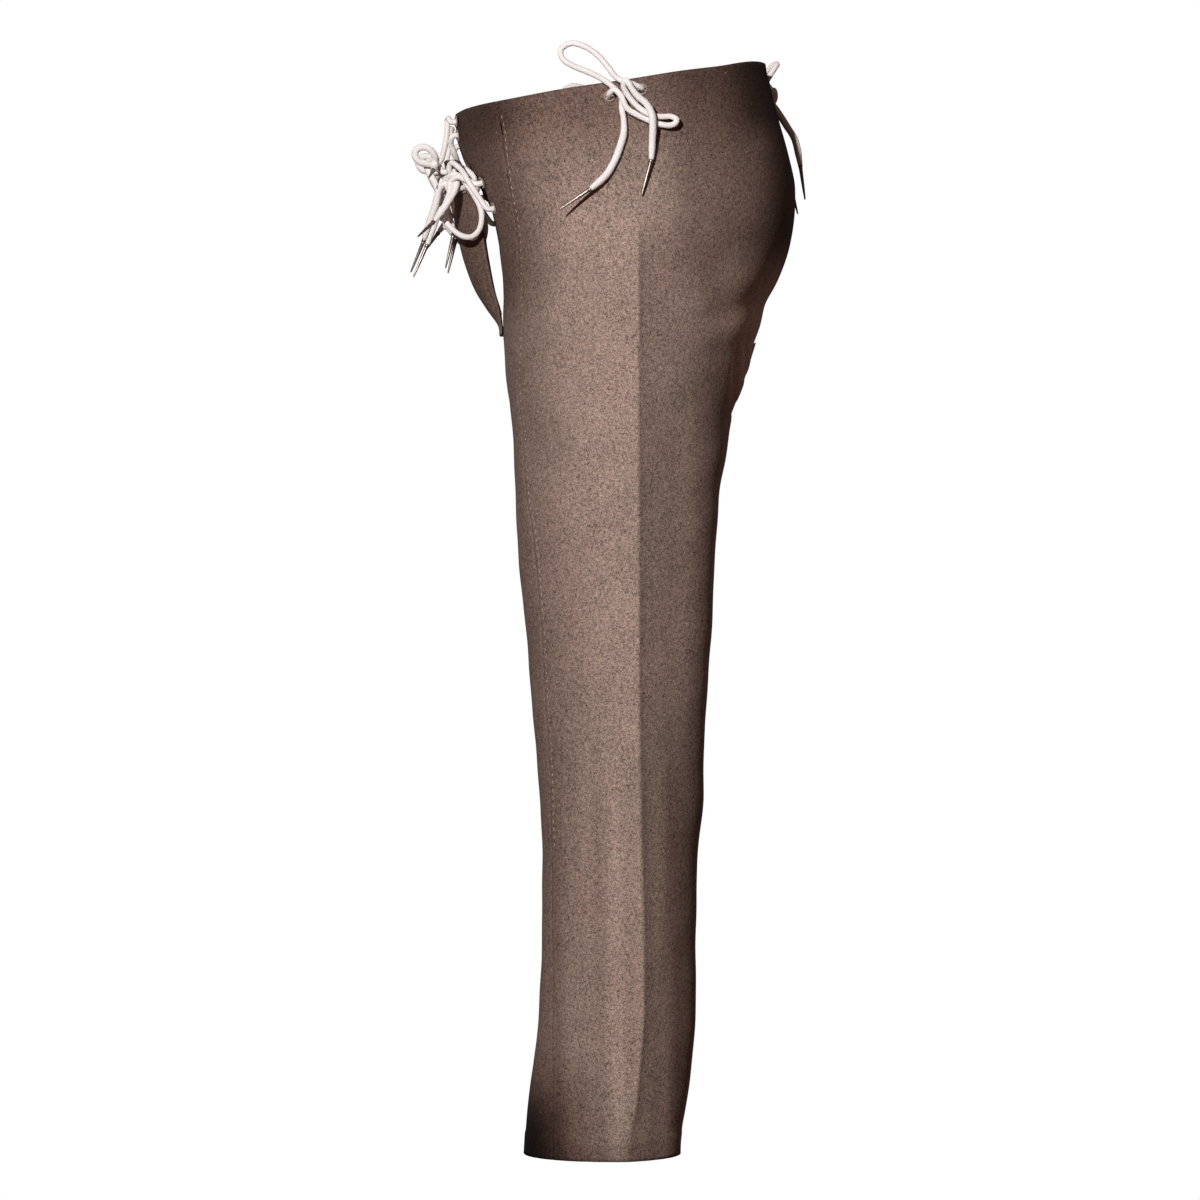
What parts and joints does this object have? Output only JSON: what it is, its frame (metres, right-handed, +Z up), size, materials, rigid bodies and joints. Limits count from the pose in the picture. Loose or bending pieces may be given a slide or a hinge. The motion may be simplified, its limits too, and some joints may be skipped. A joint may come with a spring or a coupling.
{
  "type": "laced hose",
  "caption": "Full-length wool hose with straight open legs and a codpiece flap, closed by white cord points with tapered metal tips that tie in bows round the waist.",
  "frame": {"origin": "middle of the waist, at the height where the wearer or dress form holds the garment", "axes": "+Z up, -Y the front, +X the wearer's left"},
  "size_m": [0.4102, 0.3896, 1.0674],
  "materials": {
    "wool": "matt, fulled and lightly napped",
    "linen": "plain weave, unbleached",
    "eyelet_thread": "worked in thread over the edge of the hole",
    "lace": "soft round cotton cord",
    "aglet": "rolled sheet, dull"
  },
  "bodies": {
    "hose": {"left_outer_panel": "wool", "right_outer_panel": "wool", "left_inner_panel": "wool", "right_inner_panel": "wool", "left_waist_facing": "linen", "right_waist_facing": "linen", "eyelet_side_front_left": "eyelet_thread", "eyelet_side_front_right": "eyelet_thread", "eyelet_side_back_left": "eyelet_thread", "eyelet_side_back_right": "eyelet_thread", "eyelet_back_left": "eyelet_thread", "eyelet_back_right": "eyelet_thread", "eyelet_waist_upper_left": "eyelet_thread", "eyelet_waist_upper_right": "eyelet_thread", "eyelet_waist_lower_left": "eyelet_thread", "eyelet_waist_lower_right": "eyelet_thread", "eyelet_edge_upper_left": "eyelet_thread", "eyelet_edge_upper_right": "eyelet_thread", "eyelet_edge_lower_left": "eyelet_thread", "eyelet_edge_lower_right": "eyelet_thread", "lace_side_left": "lace", "lace_side_right": "lace", "lace_back": "lace"},
    "codpiece": {"codpiece_flap": "wool", "codpiece_lining": "linen", "eyelet_flap_top_left": "eyelet_thread", "eyelet_flap_top_right": "eyelet_thread", "eyelet_flap_corner_left": "eyelet_thread", "eyelet_flap_corner_right": "eyelet_thread", "eyelet_flap_low_left": "eyelet_thread", "eyelet_flap_low_right": "eyelet_thread", "lace_front_upper_left": "lace", "lace_front_upper_right": "lace", "lace_front_lower_left": "lace", "lace_front_lower_right": "lace", "aglet_front_upper_left_a": "aglet", "aglet_front_upper_left_b": "aglet", "aglet_front_upper_right_a": "aglet", "aglet_front_upper_right_b": "aglet", "aglet_front_lower_left_a": "aglet", "aglet_front_lower_left_b": "aglet", "aglet_front_lower_right_a": "aglet", "aglet_front_lower_right_b": "aglet"},
    "side_bow_left": {"aglet_side_left_a": "aglet", "aglet_side_left_b": "aglet"},
    "side_bow_right": {"aglet_side_right_a": "aglet", "aglet_side_right_b": "aglet"},
    "back_bow": {"aglet_back_a": "aglet", "aglet_back_b": "aglet"}
  },
  "joints": [
    {"name": "codpiece_fold", "type": "hinge", "parent": "hose", "child": "codpiece", "pos_m": [0, -0.1105, -0.232], "axis": [1, 0, 0], "range_deg": [0, 120], "deforming": ["lace_front_upper_left", "lace_front_upper_right", "lace_front_lower_left", "lace_front_lower_right"]},
    {"name": "side_bow_left_lift", "type": "hinge", "parent": "hose", "child": "side_bow_left", "pos_m": [0.19, 0.0095, -0.02], "axis": [0, -1, 0], "range_deg": [0, 60], "deforming": ["lace_side_left"]},
    {"name": "side_bow_right_lift", "type": "hinge", "parent": "hose", "child": "side_bow_right", "pos_m": [-0.19, 0.0095, -0.02], "axis": [0, 1, 0], "range_deg": [0, 60], "deforming": ["lace_side_right"]},
    {"name": "back_bow_lift", "type": "hinge", "parent": "hose", "child": "back_bow", "pos_m": [0, 0.147, 0], "axis": [1, 0, 0], "range_deg": [0, 60], "deforming": ["lace_back"]}
  ]
}
